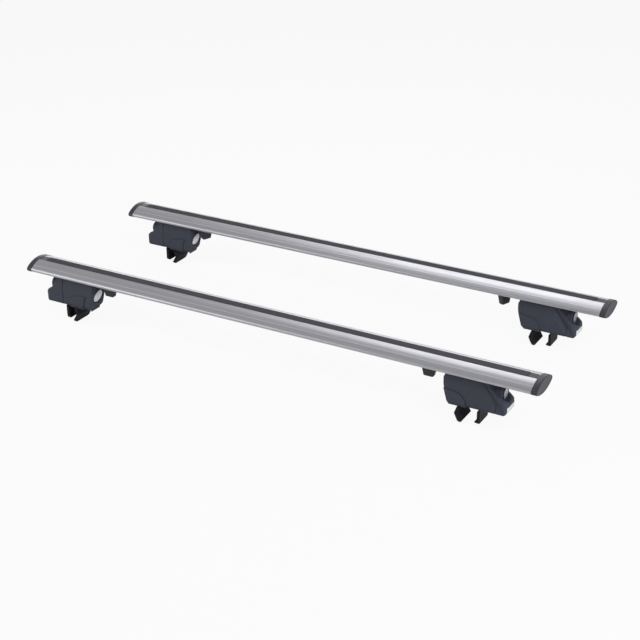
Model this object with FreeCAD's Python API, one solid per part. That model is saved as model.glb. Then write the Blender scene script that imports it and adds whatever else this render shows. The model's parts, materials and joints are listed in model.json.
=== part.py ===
import FreeCAD, Part

import math
import os

# A pair of roof bars for a car with raised side rails.
# Each bar is an aluminium wing section carried by two clamp feet.
# X runs along the bars, Y from the front bar to the rear bar, and Z up.
# The origin is on the floor, midway along the bars and midway between them.
# Lengths are in millimetres and angles in degrees.
#
# A foot is modelled once, in its own frame: U runs inboard from its outer
# end, V across it and W up from the floor. The left feet stand that way,
# and the right feet are the same foot turned half a turn.

# Bars
bar_length = 1200.0
bar_spacing = 382.0
bar_width = 80.0
bar_height = 30.0
bar_wall = 2.0
nose_radius = 5.0
nose_level = 13.5
underside_level = 101.0

# Slots along the top and the underside of a bar
slot_mouth = 11.0
slot_channel = 21.0
slot_lip = 2.6
slot_depth = 7.0

# Rubber strip in the top slot
strip_width = 18.6
strip_seat = 1.6
strip_stem = 10.4
strip_bulb = 13.0
strip_bulb_height = 1.8
strip_setback = 20.0
strip_step = 0.3

# End caps
cap_thickness = 13.0
cap_overhang = 0.6
cap_rim = 2.6
cap_recess = 0.8
cap_edge = 1.2
cap_peg_length = 12.0

# Clearances
slide_gap = 0.3
seam_gap = 0.4
bore_gap = 0.08
push_gap = 0.15

# Feet and stops, from the nearer end of the bar
front_left_foot_setback = 21.0
front_right_foot_setback = 51.3
rear_left_foot_setback = 27.0
rear_right_foot_setback = 51.3
left_stop_setback = 189.5
right_stop_setback = 227.0
front_stop_turn = 0.0
rear_stop_turn = 68.0

# Foot housing, with its cover on the outboard end
foot_length = 136.0
foot_half_width = 24.8
foot_bottom = 38.0
foot_wall = 2.5
foot_top_wall = 3.0
foot_neck_half_width = 20.0
foot_neck_rise = 4.0
foot_flank_inset = 1.2
foot_shoulder_level = 75.0
foot_sill = 8.0
foot_sill_inset = 4.3
foot_end_slant = 12.0
foot_end_level = 80.0
foot_end_draft = 0.5
lobe_radius = 19.0
lobe_level = 53.0
lobe_turn = 60.0
neck_setback = 27.5
waist_inset = 2.0
waist_level = 84.0
waist_sag = 1.8
outer_corner = 14.0
inner_corner = 6.0
end_tab_drop = 6.0
end_tab_half_width = 15.0
cover_seam = 51.5
cover_spigot = 3.5
spigot_wall = 1.6

# Crease and scoop on one side of the cover, and the slanted corner on its other side
crease_radius = 12.0
crease_depth = 4.0
crease_top = (51.5, 101.0)
crease_foot = (23.5, 61.0)
scoop_offset = 9.0
corner_slant_side = (25.0, 77.0)
corner_slant_drop = 22.0
corner_slant_top = (0.0, -8.0, 76.0)
scoop_curve = ((12.0, 75.5), (21.0, 76.5), (27.0, 82.5))
scoop_end = (40.0, 99.0)

# Lock in the cover, and the badge on the inboard end
lock_level = 78.5
lock_setback = 14.5
boss_radius = 16.0
boss_length = 21.0
disc_radius = 12.4
disc_thickness = 1.6
barrel_radius = 8.5
keyway_width = 1.6
keyway_height = 8.0
keyway_depth = 4.0
badge_level = 68.0
badge_radius = 15.2
badge_rim = 1.6
badge_thickness = 1.8
badge_recess = 5.0
badge_peg_radius = 3.0
end_panel_radius = 22.0
end_panel_rise = 1.2
end_panel_foot = 4.0

# Clamp frame inside the housing
frame_plate = 3.0
frame_half_width = 17.2
frame_start = 46.0
frame_end_setback = 17.0
frame_skirt = 53.0

# Clamp bolt
bolt_radius = 4.0
bolt_level = 68.0
bolt_head_radius = 6.5
bolt_head_length = 8.0
bolt_socket = 6.0
bolt_socket_depth = 4.0
bolt_collar_length = 3.0

# Bolts that hang a foot in the slot of its bar
slot_bolt_outer = 64.0
slot_bolt_setback = 32.0
slot_bolt_radius = 4.0
slot_bolt_hole = 4.25
slot_bolt_head = 5.0
slot_bolt_head_length = 20.0
slot_nut_width = 13.0
slot_nut_height = 6.5
slot_bolt_tail = 1.5

# Jaws. The inner jaw is home as far from the outer one as its lead, and can open up to
# a little room before the frame's end. The left feet's jaws are home, and the right
# feet's are short of full travel by their slack.
jaw_end_room = 2.5
front_right_jaw_slack = 4.0
rear_right_jaw_slack = 7.0
outer_jaw_at = 56.0
outer_jaw_plate = 4.0
outer_jaw_half_width = 22.0
outer_jaw_tip = 5.0
outer_jaw_heel = 3.0
outer_jaw_lip = 5.5
outer_jaw_lip_rise = 2.5
outer_jaw_crest = (4.0, 5.5)
outer_jaw_root = 8.0
outer_jaw_sag = 1.8
outer_jaw_top = 83.0
inner_jaw_lead = 21.5
inner_jaw_plate = 5.0
inner_jaw_half_width = 24.6
inner_jaw_top = 79.0
inner_jaw_bend_level = 20.5
inner_jaw_bend = 5.4
inner_jaw_nose = 1.8
inner_jaw_hook = 4.0
jaw_pad = 2.0
jaw_corner = 8.0
neck_half_width = 13.8

# Saddle that covers the inner jaw's slot and slides along the housing
saddle_lead = 14.0
saddle_length = 48.0
saddle_corner = 27.0
saddle_sill = 4.0
saddle_rise = 4.0
saddle_skin = 2.0
saddle_floor_lead = 5.0

# Stops that turn to lock in the underside slot
stop_length = 32.0
stop_width = 15.0
stop_drop = 25.0
stop_end_taper = 5.5
stop_side_taper = 1.2
stop_corner = 2.0
stop_neck_radius = 5.0
stop_head_length = 17.5
stop_head_width = 9.0
stop_head_height = 5.0

# Reach of the cutting shapes past the forms that they cut
past = 60.0


def side(u, w):
    return FreeCAD.Vector(u, 0, w)


def section(v, w):
    return FreeCAD.Vector(0, v, w)


def plan(u, v):
    return FreeCAD.Vector(u, v, 0)


def face(plane, start, steps):
    """A flat face. A step is a point to draw a line to, or an arc's middle and end."""
    edges = []
    here = start
    for step in steps + [start]:
        if isinstance(step[0], tuple):
            middle, there = step
            edges.append(Part.Arc(plane(*here), plane(*middle), plane(*there)).toShape())
        elif step != here:
            there = step
            edges.append(Part.makeLine(plane(*here), plane(*there)))
        here = there
    return Part.Face(Part.Wire(edges))


def across(flat, near, far):
    """A side view drawn out from V = near to V = far."""
    return flat.translated(FreeCAD.Vector(0, near, 0)).extrude(FreeCAD.Vector(0, far - near, 0))


def along(flat, near, far):
    """A section drawn out from U = near to U = far."""
    return flat.translated(FreeCAD.Vector(near, 0, 0)).extrude(FreeCAD.Vector(far - near, 0, 0))


def upward(flat, low, high):
    """A plan view drawn out from W = low to W = high."""
    return flat.translated(FreeCAD.Vector(0, 0, low)).extrude(FreeCAD.Vector(0, 0, high - low))


def block(u0, u1, v0, v1, w0, w1):
    return Part.makeBox(u1 - u0, v1 - v0, w1 - w0, FreeCAD.Vector(u0, v0, w0))


def rod(radius, start, direction, length):
    return Part.makeCylinder(radius, length, FreeCAD.Vector(*start), FreeCAD.Vector(*direction))


def bulged(start, end, sag):
    """The middle of an arc between two points that stands out to the left of them by sag."""
    run = math.dist(start, end)
    return ((start[0] + end[0]) / 2 - (end[1] - start[1]) * sag / run,
            (start[1] + end[1]) / 2 + (end[0] - start[0]) * sag / run)


def tidy(shape):
    """One clean solid out of a cut or a joined shape."""
    return shape.removeSplitter().Solids[0]


# Bars

def bar_arcs():
    """Centre heights and radii of the two long arcs that meet the noses smoothly."""
    reach = bar_width / 2 - nose_radius
    depth = bar_height - nose_radius
    top_centre = (depth**2 - reach**2 - nose_level**2) / (2 * (depth - nose_level))
    low_radius = (reach**2 + nose_level**2 - nose_radius**2) / (2 * (nose_level - nose_radius))
    return top_centre, bar_height - top_centre, low_radius, low_radius


def bar_outline():
    """The wing section, its underside at height 0."""
    top_centre, top_radius, low_centre, low_radius = bar_arcs()
    reach = bar_width / 2 - nose_radius
    top_angle = math.atan2(nose_level - top_centre, reach)
    low_angle = math.atan2(low_centre - nose_level, reach)
    top = (top_radius * math.cos(top_angle), top_centre + top_radius * math.sin(top_angle))
    low = (low_radius * math.cos(low_angle), low_centre - low_radius * math.sin(low_angle))
    nose = (bar_width / 2, nose_level)
    return face(section, (-top[0], top[1]), [
        ((0.0, bar_height), top),
        (nose, low),
        ((0.0, 0.0), (-low[0], low[1])),
        ((-nose[0], nose[1]), (-top[0], top[1])),
    ])


def skin_height(v):
    """Height of the section's top skin at V."""
    top_centre, top_radius = bar_arcs()[:2]
    return top_centre + math.sqrt(top_radius**2 - v**2)


def strip_floor():
    """Height of the seat that the strip's edges lie on."""
    return skin_height(strip_width / 2) - strip_seat


def slot_shape(channel_low, mouth_low, mouth_high):
    """One T-slot in the section: its channel and its mouth."""
    channel = [(slot_channel / 2, channel_low), (slot_channel / 2, channel_low + slot_depth),
               (-slot_channel / 2, channel_low + slot_depth)]
    mouth = [(slot_mouth / 2, mouth_low), (slot_mouth / 2, mouth_high), (-slot_mouth / 2, mouth_high)]
    return face(section, (-slot_channel / 2, channel_low), channel).fuse(
        face(section, (-slot_mouth / 2, mouth_low), mouth))


def chambers(shrink):
    """The closed hollows left and right of the slots."""
    inside = bar_outline().makeOffset2D(-bar_wall - shrink)
    edge = slot_channel / 2 + bar_wall + shrink
    found = []
    for hand in (-1, 1):
        beside = face(section, (hand * edge, -past), [
            (hand * bar_width, -past), (hand * bar_width, past), (hand * edge, past)])
        found.append(inside.common(beside))
    return found


def middle_chamber():
    """The hollow between the two channels."""
    low = slot_lip + slot_depth + bar_wall
    high = strip_floor() - slot_lip - slot_depth - bar_wall
    half = slot_channel / 2
    return face(section, (-half, low), [(half, low), (half, high), (-half, high)])


def bar_profile():
    """The aluminium extrusion with its slots and hollows."""
    top_channel = strip_floor() - slot_lip - slot_depth
    seat = face(section, (-strip_width / 2 - push_gap, strip_floor()), [
        (strip_width / 2 + push_gap, strip_floor()),
        (strip_width / 2 + push_gap, past),
        (-strip_width / 2 - push_gap, past)])
    cuts = [seat, slot_shape(top_channel, top_channel + slot_depth, past),
            slot_shape(slot_lip, -past, slot_lip), middle_chamber()] + chambers(0.0)
    flat = bar_outline()
    for cut in cuts:
        flat = flat.cut(cut)
    solid = along(flat, -bar_length / 2, bar_length / 2)
    return tidy(solid.translated(FreeCAD.Vector(0, 0, underside_level)))


def strip_section(lower):
    """The strip's section: a flat top, a stem and a bulb under the slot's lips."""
    half = strip_width / 2
    floor = strip_floor() + push_gap
    under = strip_floor() - slot_lip - push_gap
    stem = strip_stem / 2
    bulb = strip_bulb / 2
    points = [(half, bar_height - lower), (half, floor), (stem, floor), (stem, under), (bulb, under),
              (stem, under - strip_bulb_height), (-stem, under - strip_bulb_height), (-bulb, under),
              (-stem, under), (-stem, floor), (-half, floor)]
    return face(section, (-half, bar_height - lower), points)


def strip():
    end = bar_length / 2 - strip_setback
    return along(strip_section(0.0), -end, end).translated(FreeCAD.Vector(0, 0, underside_level))


def end_cap():
    """The cap of the +X end, with a tongue that fills the slot up to the strip."""
    start = bar_length / 2
    plate = along(bar_outline().makeOffset2D(cap_overhang), start, start + cap_thickness)
    rim = [edge for edge in plate.Edges if edge.BoundBox.XMin > start + cap_thickness - push_gap]
    plate = plate.makeFillet(cap_edge, rim)
    panel = bar_outline().makeOffset2D(cap_overhang - cap_rim)
    plate = plate.cut(along(panel, start + cap_thickness - cap_recess, start + past))
    tongue = along(strip_section(strip_step), start - strip_setback + slide_gap, start)
    parts = [tongue] + [along(hollow, start - cap_peg_length, start) for hollow in chambers(push_gap)]
    return tidy(plate.fuse(parts)).translated(FreeCAD.Vector(0, 0, underside_level))


def bar_envelope(gap):
    """The space that a bar takes, for what fits under it."""
    shape = along(bar_outline().makeOffset2D(gap), -past, foot_length + past)
    return shape.translated(FreeCAD.Vector(0, 0, underside_level))


# Foot forms

def side_outline():
    """The foot seen from the side: a lobe outboard, a slanted end inboard."""
    top = underside_level + bar_height / 2
    lobe_back = lobe_radius - math.sqrt(lobe_radius**2 - (lobe_level - foot_bottom)**2)
    turn = math.radians(lobe_turn)
    lobe_top = (lobe_radius * (1 - math.cos(turn)), lobe_level + lobe_radius * math.sin(turn))
    waist = (neck_setback - waist_inset, waist_level)
    hollow = bulged(waist, lobe_top, waist_sag)
    return face(side, (neck_setback, top), [
        (neck_setback, underside_level),
        waist,
        (hollow, lobe_top),
        ((0.0, lobe_level), (lobe_back, foot_bottom)),
        (foot_length - foot_end_slant, foot_bottom),
        (foot_length - foot_end_draft, foot_end_level),
        (foot_length, underside_level - foot_sill),
        (foot_length - foot_sill / 2, underside_level),
        (foot_length - foot_sill / 2, top),
    ])


def end_outline():
    """The foot seen from its end: upright sides, drawn in to a neck above."""
    top = underside_level + bar_height / 2
    half = foot_half_width
    sill = foot_bottom + foot_sill
    shoulder = foot_shoulder_level
    middle = (half - foot_flank_inset, (shoulder + underside_level) / 2)
    neck = (foot_neck_half_width, underside_level + foot_neck_rise)
    return face(section, (-half + foot_sill_inset, foot_bottom), [
        (half - foot_sill_inset, foot_bottom),
        (half, sill),
        (half, shoulder),
        (middle, neck),
        (foot_neck_half_width, top),
        (-foot_neck_half_width, top),
        (-neck[0], neck[1]),
        ((-middle[0], middle[1]), (-half, shoulder)),
        (-half, sill),
    ])


def plan_outline():
    """The foot seen from above: a rounded box with large outboard corners."""
    half = foot_half_width
    near = outer_corner * (1 - math.sqrt(0.5))
    far = inner_corner * (1 - math.sqrt(0.5))
    return face(plan, (outer_corner, -half), [
        (foot_length - inner_corner, -half),
        ((foot_length - far, far - half), (foot_length, inner_corner - half)),
        (foot_length, half - inner_corner),
        ((foot_length - far, half - far), (foot_length - inner_corner, half)),
        (outer_corner, half),
        ((near, half - near), (0.0, half - outer_corner)),
        (0.0, outer_corner - half),
        ((near, near - half), (outer_corner, -half)),
    ])


def foot_form(inset):
    """The outer form of a foot, drawn in by inset, before the bar is cut from it."""
    flats = [flat.makeOffset2D(-inset) if inset else flat
             for flat in (side_outline(), end_outline(), plan_outline())]
    form = across(flats[0], -past, past)
    form = form.common(along(flats[1], -past, foot_length + past))
    return form.common(upward(flats[2], -past, underside_level + past))


def crease(grow):
    """The rounded valley between the housing and the cover's lobe."""
    run = FreeCAD.Vector(crease_top[0] - crease_foot[0], 0, crease_top[1] - crease_foot[1])
    length = run.Length
    run.normalize()
    start = FreeCAD.Vector(crease_foot[0], foot_half_width + crease_radius - crease_depth, crease_foot[1])
    start = start - run * length
    return rod(crease_radius + grow, tuple(start), tuple(run), 3 * length)


def scoop(grow):
    """The space beside the lock's boss, above the lobe."""
    start, middle, end = scoop_curve
    high = underside_level + bar_height
    flat = face(side, (-past, start[1]), [
        start, (middle, end), scoop_end, (scoop_end[0], high), (-past, high)])
    if grow:
        flat = flat.makeOffset2D(grow)
    return across(flat, scoop_offset - grow, foot_half_width + past)


def corner_flat():
    """The middle and outward direction of the flat that slants across the lobe's upper corner."""
    u, w = corner_slant_side
    high = FreeCAD.Vector(u, -foot_half_width, w)
    low = high - FreeCAD.Vector(corner_slant_drop, 0, corner_slant_drop)
    top = FreeCAD.Vector(*corner_slant_top)
    return (high + low) / 2, (low - high).cross(high - top).normalize()


def corner_slant(depth):
    """The space outside that flat, moved in by a depth."""
    middle, out = corner_flat()
    flat = Part.makePlane(past, past, middle, out)
    flat.translate(middle - out * depth - flat.CenterOfMass)
    return flat.extrude(out * past)


def cover_region(gap):
    """The share of the foot that the cover takes, up to its seam."""
    run = (crease_top[0] - crease_foot[0]) / (crease_top[1] - crease_foot[1])
    high = underside_level + past
    plain = block(-past, cover_seam + gap, -past, 0.0, -past, high)
    slanted = face(side, (-past, -past), [
        (crease_foot[0] + gap, -past),
        (crease_foot[0] + gap, crease_foot[1]),
        (crease_foot[0] + gap + run * (high - crease_foot[1]), high),
        (-past, high)])
    return plain.fuse(across(slanted, 0.0, past))


def lock_axis(radius, near, far):
    return rod(radius, (near, 0, lock_level), (1, 0, 0), far - near)


def foot_blank():
    """The solid outer form under the bar, with the crease and the scoop cut in."""
    blank = foot_form(0.0).cut(bar_envelope(slide_gap))
    blank = blank.cut(scoop(0.0)).cut(crease(0.0)).cut(corner_slant(0.0))
    blank = blank.fuse(lock_axis(boss_radius, lock_setback, lock_setback + boss_length))
    return blank.cut(lock_axis(boss_radius + slide_gap, -past, lock_setback))


def foot_hollow():
    """The space inside the housing and the cover."""
    ceiling = underside_level - slide_gap - foot_top_wall
    hollow = foot_form(foot_wall).common(block(-past, foot_length + past, -past, past, -past, ceiling))
    hollow = hollow.cut(scoop(foot_wall)).cut(crease(foot_wall))
    hollow = hollow.cut(corner_slant(foot_wall))
    return hollow.cut(lock_axis(boss_radius + foot_wall, -past, lock_setback + foot_wall))


def bottom_opening():
    """The slot in the housing's floor that the jaws come out of."""
    half = neck_half_width + 2.0
    far = foot_length - foot_end_slant - 2 * foot_wall
    return block(cover_seam - past, far, -half, half, -past, foot_bottom + foot_wall + slide_gap)


def slot_bolt_places():
    return (slot_bolt_outer, foot_length - slot_bolt_setback)


def end_lean():
    """How far the inboard end comes back for each millimetre down."""
    return (foot_end_slant - foot_end_draft) / (foot_end_level - foot_bottom)


def end_tab():
    """The tab of the end wall that reaches down past the floor."""
    top = foot_length - foot_end_slant
    low = top - end_lean() * end_tab_drop
    level = foot_bottom - end_tab_drop
    inner = foot_wall * math.hypot(1, end_lean())
    flat = face(side, (top, foot_bottom), [(low, level), (low - inner, level), (top - inner, foot_bottom)])
    return across(flat, -end_tab_half_width, end_tab_half_width)


def badge_rod(radius, depth, length):
    """A cylinder square to the inboard end, from a depth under its surface."""
    lean = math.atan(end_lean())
    out = FreeCAD.Vector(math.cos(lean), 0, -math.sin(lean))
    surface = FreeCAD.Vector(foot_length - foot_end_draft, 0, badge_level)
    surface.x -= end_lean() * (foot_end_level - badge_level)
    return rod(radius, tuple(surface - out * depth), tuple(out), length)


def end_panel():
    """The raised panel round the badge, with a round top."""
    surface = foot_length - foot_end_draft - end_lean() * (foot_end_level - badge_level)
    drop = (badge_level - foot_bottom - end_panel_foot) * math.hypot(1, end_lean())
    low = block(surface - foot_wall / 2, surface + end_panel_rise, -end_panel_radius, end_panel_radius,
                badge_level - drop, badge_level)
    low.rotate(FreeCAD.Vector(surface, 0, badge_level), FreeCAD.Vector(0, 1, 0),
               math.degrees(math.atan(end_lean())))
    return low.fuse(badge_rod(end_panel_radius, foot_wall / 2, foot_wall / 2 + end_panel_rise))


def housing():
    solid = foot_blank().cut(foot_hollow()).cut(cover_region(seam_gap))
    solid = solid.cut(bottom_opening())
    for u in slot_bolt_places():
        solid = solid.cut(rod(slot_bolt_hole, (u, 0, bolt_level), (0, 0, 1), past))
    well = badge_radius + badge_rim
    solid = solid.fuse([badge_rod(well + foot_wall, badge_recess + foot_wall, badge_recess), end_panel()])
    solid = solid.cut(badge_rod(well, badge_recess, past))
    solid = solid.cut(badge_rod(badge_peg_radius + push_gap, badge_recess + 2 * foot_wall, past))
    return tidy(solid.fuse(end_tab()))


def cover_tongue():
    """The tongue inside the cover's straight seam, which enters the housing."""
    inner = foot_wall + slide_gap
    low = foot_bottom + foot_wall + foot_sill
    high = foot_shoulder_level + foot_sill
    root = block(cover_seam - 2 * cover_spigot, cover_seam, -past, 0.0, low, high)
    reach = block(cover_seam - cover_spigot, cover_seam + cover_spigot, -past, 0.0, low, high)
    solid = foot_form(foot_wall).common(root).fuse(foot_form(inner).common(reach))
    return solid.cut(foot_form(inner + spigot_wall))


def outer_cover():
    """The cover, with the lock's boss inside it and a spigot that enters the housing."""
    shell = foot_blank().cut(foot_hollow())
    bore = lock_axis(barrel_radius + bore_gap, -past, past)
    boss = lock_axis(boss_radius, lock_setback, lock_setback + boss_length)
    solid = shell.common(cover_region(0.0)).fuse([boss, cover_tongue()])
    return tidy(solid.cut(bore))


def lock_barrel():
    """The disc and barrel that a key turns, with its keyway."""
    seat = lock_setback - slide_gap
    solid = lock_axis(disc_radius, seat - disc_thickness, seat)
    solid = solid.fuse(lock_axis(barrel_radius, seat, lock_setback + boss_length))
    half = keyway_width / 2
    keyway = block(-past, seat + keyway_depth, -half, half,
                   lock_level - keyway_height / 2, lock_level + keyway_height / 2)
    return tidy(solid.cut(keyway))


def end_badge():
    """The round badge pressed into the inboard end."""
    disc = badge_rod(badge_radius, badge_recess, badge_thickness)
    peg = badge_rod(badge_peg_radius, badge_recess + foot_wall, foot_wall + badge_thickness)
    return tidy(disc.fuse(peg))


def frame_end():
    return foot_length - frame_end_setback


def clamp_frame():
    """A pressed steel channel: top plate, two skirts and a web at each end."""
    top = underside_level - slide_gap - foot_top_wall
    half = frame_half_width
    solid = block(frame_start, frame_end(), -half, half, frame_skirt, top)
    room = block(frame_start + frame_plate, frame_end() - frame_plate,
                 frame_plate - half, half - frame_plate, -past, top - frame_plate)
    solid = solid.cut(room)
    solid = solid.cut(rod(bolt_radius + bore_gap, (-past, 0, bolt_level), (1, 0, 0), 2 * past + foot_length))
    for u in slot_bolt_places():
        solid = solid.cut(rod(slot_bolt_hole, (u, 0, top - 2 * frame_plate), (0, 0, 1), past))
    return tidy(solid)


def clamp_bolt():
    """The bolt that pulls the inner jaw outboard, with a collar on its far end."""
    seat = frame_start - slide_gap
    far = frame_end() + slide_gap
    head = rod(bolt_head_radius, (seat - bolt_head_length, 0, bolt_level), (1, 0, 0), bolt_head_length)
    shank = rod(bolt_radius, (seat, 0, bolt_level), (1, 0, 0), far + bolt_collar_length - seat)
    collar = rod(bolt_head_radius, (far, 0, bolt_level), (1, 0, 0), bolt_collar_length)
    corner = bolt_socket / math.sqrt(3)
    points = [(corner * math.cos(math.radians(60 * n)), bolt_level + corner * math.sin(math.radians(60 * n)))
              for n in range(6)]
    socket = along(face(section, points[0], points[1:]), seat - bolt_head_length - 1,
                   seat - bolt_head_length + bolt_socket_depth)
    return tidy(head.fuse([shank, collar]).cut(socket))


def slot_bolts():
    """Two T-headed bolts and their nuts, hanging in the slot of the bar."""
    lip = underside_level + slot_lip + slide_gap
    nut_top = underside_level - slide_gap - foot_top_wall - frame_plate
    tail = nut_top - slot_nut_height - slot_bolt_tail
    half = slot_channel / 2 - slide_gap
    square = slot_mouth / 2 - slide_gap
    corner = slot_nut_width / math.sqrt(3)
    solids = []
    for u in slot_bolt_places():
        head = block(u - slot_bolt_head_length / 2, u + slot_bolt_head_length / 2,
                     -half, half, lip, lip + slot_bolt_head)
        key = block(u - square, u + square, -square, square, underside_level, lip)
        stud = rod(slot_bolt_radius, (u, 0, tail), (0, 0, 1), lip - tail)
        points = [(u + corner * math.cos(math.radians(60 * n)), corner * math.sin(math.radians(60 * n)))
                  for n in range(6)]
        nut = upward(face(plan, points[0], points[1:]), nut_top - slot_nut_height, nut_top)
        solids.append(tidy(head.fuse([key, stud, nut])))
    return Part.makeCompound(solids)


# Jaws

def jaw_home():
    """Where the inner jaw's rail side stands when it is home."""
    return outer_jaw_at + outer_jaw_plate + inner_jaw_lead


def jaw_travel():
    """How far the inner jaw opens before its nut block comes near the frame's end."""
    return frame_end() - frame_plate - jaw_end_room - jaw_home() - 2 * inner_jaw_plate


def bolt_hole(radius):
    return rod(radius, (-past, 0, bolt_level), (1, 0, 0), 2 * past + foot_length)


def jaw_plate(flat, half, tip):
    """A bent plate whose lower corners are rounded, as seen from the end."""
    near = jaw_corner * (1 - math.sqrt(0.5))
    front = face(section, (-half, foot_bottom), [
        (-half, tip + jaw_corner),
        ((near - half, tip + near), (jaw_corner - half, tip)),
        (half - jaw_corner, tip),
        ((half - near, tip + near), (half, tip + jaw_corner)),
        (half, foot_bottom)])
    return across(flat, -half, half).common(along(front, -past, foot_length + past))


def outer_jaw_line():
    """The rail side of the hook: its root, the curve to the crest, and the lip's edge."""
    far = outer_jaw_at + outer_jaw_plate
    root = (far, outer_jaw_tip + outer_jaw_root)
    crest = (far + outer_jaw_crest[0], outer_jaw_tip + outer_jaw_crest[1])
    edge = (far + outer_jaw_lip, outer_jaw_tip + outer_jaw_lip_rise)
    return root, bulged(crest, root, outer_jaw_sag), crest, edge


def outer_jaw():
    """The fixed hook: a plate bolted in the frame, with a lip under the rail."""
    root, middle, crest, edge = outer_jaw_line()
    near = outer_jaw_at
    far = near + outer_jaw_plate
    tip = outer_jaw_tip
    top = foot_bottom - slide_gap
    hook = face(side, (near, top), [
        (near, tip + outer_jaw_heel),
        (near + outer_jaw_heel, tip),
        (far + outer_jaw_lip_rise, tip),
        edge,
        crest,
        (middle, root),
        (far, top)])
    plate = jaw_plate(hook, outer_jaw_half_width, tip)
    half = frame_half_width - frame_plate
    stem = block(near, far, -half, half, top, outer_jaw_top)
    return tidy(plate.fuse(stem).cut(bolt_hole(bolt_radius + slide_gap)))


def outer_jaw_pad():
    """The rubber lining of the hook, on the side of the rail."""
    line = outer_jaw_line()
    root, middle, crest, edge = line
    root_in, middle_in, crest_in, edge_in = [(u + jaw_pad, w + jaw_pad) for u, w in line]
    top = foot_bottom - 2 * jaw_pad
    flat = face(side, (root[0], top), [
        root, (middle, crest), edge, edge_in, crest_in, (middle_in, root_in), (root_in[0], top)])
    return jaw_plate(flat, outer_jaw_half_width, outer_jaw_tip)


def inner_jaw_line():
    """The rail side of the inner jaw, from the saddle down to the tip."""
    home = jaw_home()
    top = (home, foot_bottom - slide_gap - saddle_skin)
    bend = (home + inner_jaw_bend, inner_jaw_bend_level)
    hook = (home - inner_jaw_hook, inner_jaw_plate / 2)
    return top, bend, hook


def inner_jaw():
    """The sliding jaw: a bent plate under the rail and a nut block on the bolt."""
    top, bend, hook = inner_jaw_line()
    plate = inner_jaw_plate
    claw = face(side, top, [
        bend,
        hook,
        (hook[0] + inner_jaw_nose, 0.0),
        (hook[0] + 2 * inner_jaw_nose, 0.0),
        (hook[0] + 3 * inner_jaw_nose, inner_jaw_nose),
        (bend[0] + plate, bend[1]),
        (top[0] + plate, top[1])])
    solid = jaw_plate(claw, inner_jaw_half_width, 0.0)
    stem = block(top[0], top[0] + plate, -neck_half_width, neck_half_width, top[1], inner_jaw_top)
    nut = rod(bolt_head_radius + foot_wall, (top[0], 0, bolt_level), (1, 0, 0), 2 * plate)
    return tidy(solid.fuse([stem, nut]).cut(bolt_hole(bolt_radius + bore_gap)))


def inner_jaw_pad():
    """The rubber lining of the inner jaw."""
    top, bend, hook = inner_jaw_line()
    high = top[1] - jaw_pad
    slope = (top[0] - bend[0]) / (top[1] - bend[1])
    start = (bend[0] + slope * (high - bend[1]), high)
    flat = face(side, start, [
        bend,
        hook,
        (hook[0] - jaw_pad, hook[1] + jaw_pad),
        (bend[0] - jaw_pad, bend[1]),
        (start[0] - jaw_pad, high)])
    return jaw_plate(flat, inner_jaw_half_width, 0.0)


def saddle_outline():
    """The saddle seen from the side: a rounded arch with a slanted inboard end."""
    start = jaw_home() - saddle_lead
    end = start + saddle_length
    low = foot_bottom - foot_sill
    spring = foot_bottom + saddle_sill
    arch = (start + saddle_corner, spring + saddle_corner)
    near = saddle_corner * (1 - math.sqrt(0.5))
    top = arch[1] + saddle_rise
    return face(side, (start, low), [
        (start, spring),
        ((start + near, arch[1] - near), arch),
        (end, top),
        (end - end_lean() * (top - low), low)])


def jaw_saddle():
    """The skin that slides round the housing's lower edge with the inner jaw."""
    skin = foot_form(-slide_gap - saddle_skin).cut(foot_form(-slide_gap))
    skin = skin.common(across(saddle_outline(), -past, past))
    jaw_top = inner_jaw_line()[0]
    low = foot_bottom - foot_sill
    half = foot_half_width - foot_sill_inset
    ahead = block(-past, jaw_top[0] - saddle_floor_lead, -half, half, low, foot_bottom)
    stem = block(jaw_top[0], jaw_top[0] + inner_jaw_plate,
                 -neck_half_width, neck_half_width, low, foot_bottom)
    tab_face = foot_length - foot_end_slant - (foot_wall + end_tab_drop) * math.hypot(1, end_lean())
    room = end_tab_half_width + slide_gap
    notch = block(tab_face - jaw_travel(), past + foot_length, -room, room, low, foot_bottom)
    return tidy(skin.cut([ahead, stem, notch]))


# Stops

def stop():
    """A tapered knob under the bar, with a cross head that locks in the slot."""
    top = underside_level - slide_gap
    low = top - stop_drop
    wires = []
    for level, end, flank in ((top, 0.0, 0.0), (low, stop_end_taper, stop_side_taper)):
        a = stop_length / 2 - end
        b = stop_width / 2 - flank
        corners = [FreeCAD.Vector(*p, level) for p in ((-a, -b), (a, -b), (a, b), (-a, b), (-a, -b))]
        wires.append(Part.makePolygon(corners))
    knob = Part.makeLoft(wires, True, True)
    edges = [edge for edge in knob.Edges if edge.BoundBox.ZMin < top - push_gap]
    knob = knob.makeFillet(stop_corner, edges)
    lip = underside_level + slot_lip + slide_gap
    neck = rod(stop_neck_radius, (0, 0, top), (0, 0, 1), lip - top)
    head = block(-stop_head_width / 2, stop_head_width / 2, -stop_head_length / 2,
                 stop_head_length / 2, lip, lip + stop_head_height)
    return tidy(knob.fuse([neck, head]))


# Putting it together

def placed(shape, x, y, turn):
    shape = shape.copy()
    shape.rotate(FreeCAD.Vector(0, 0, 0), FreeCAD.Vector(0, 0, 1), turn)
    shape.translate(FreeCAD.Vector(x, y, 0))
    return shape


def foot_pieces():
    """The pieces of a foot: name, shape, and whether it slides with the inner jaw."""
    return [
        ("housing", housing(), False),
        ("outer_cover", outer_cover(), False),
        ("lock_barrel", lock_barrel(), False),
        ("end_badge", end_badge(), False),
        ("clamp_frame", clamp_frame(), False),
        ("clamp_bolt", clamp_bolt(), False),
        ("slot_bolts", slot_bolts(), False),
        ("outer_jaw", outer_jaw(), False),
        ("outer_jaw_pad", outer_jaw_pad(), False),
        ("inner_jaw", inner_jaw(), True),
        ("inner_jaw_pad", inner_jaw_pad(), True),
        ("jaw_saddle", jaw_saddle(), True),
    ]


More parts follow.
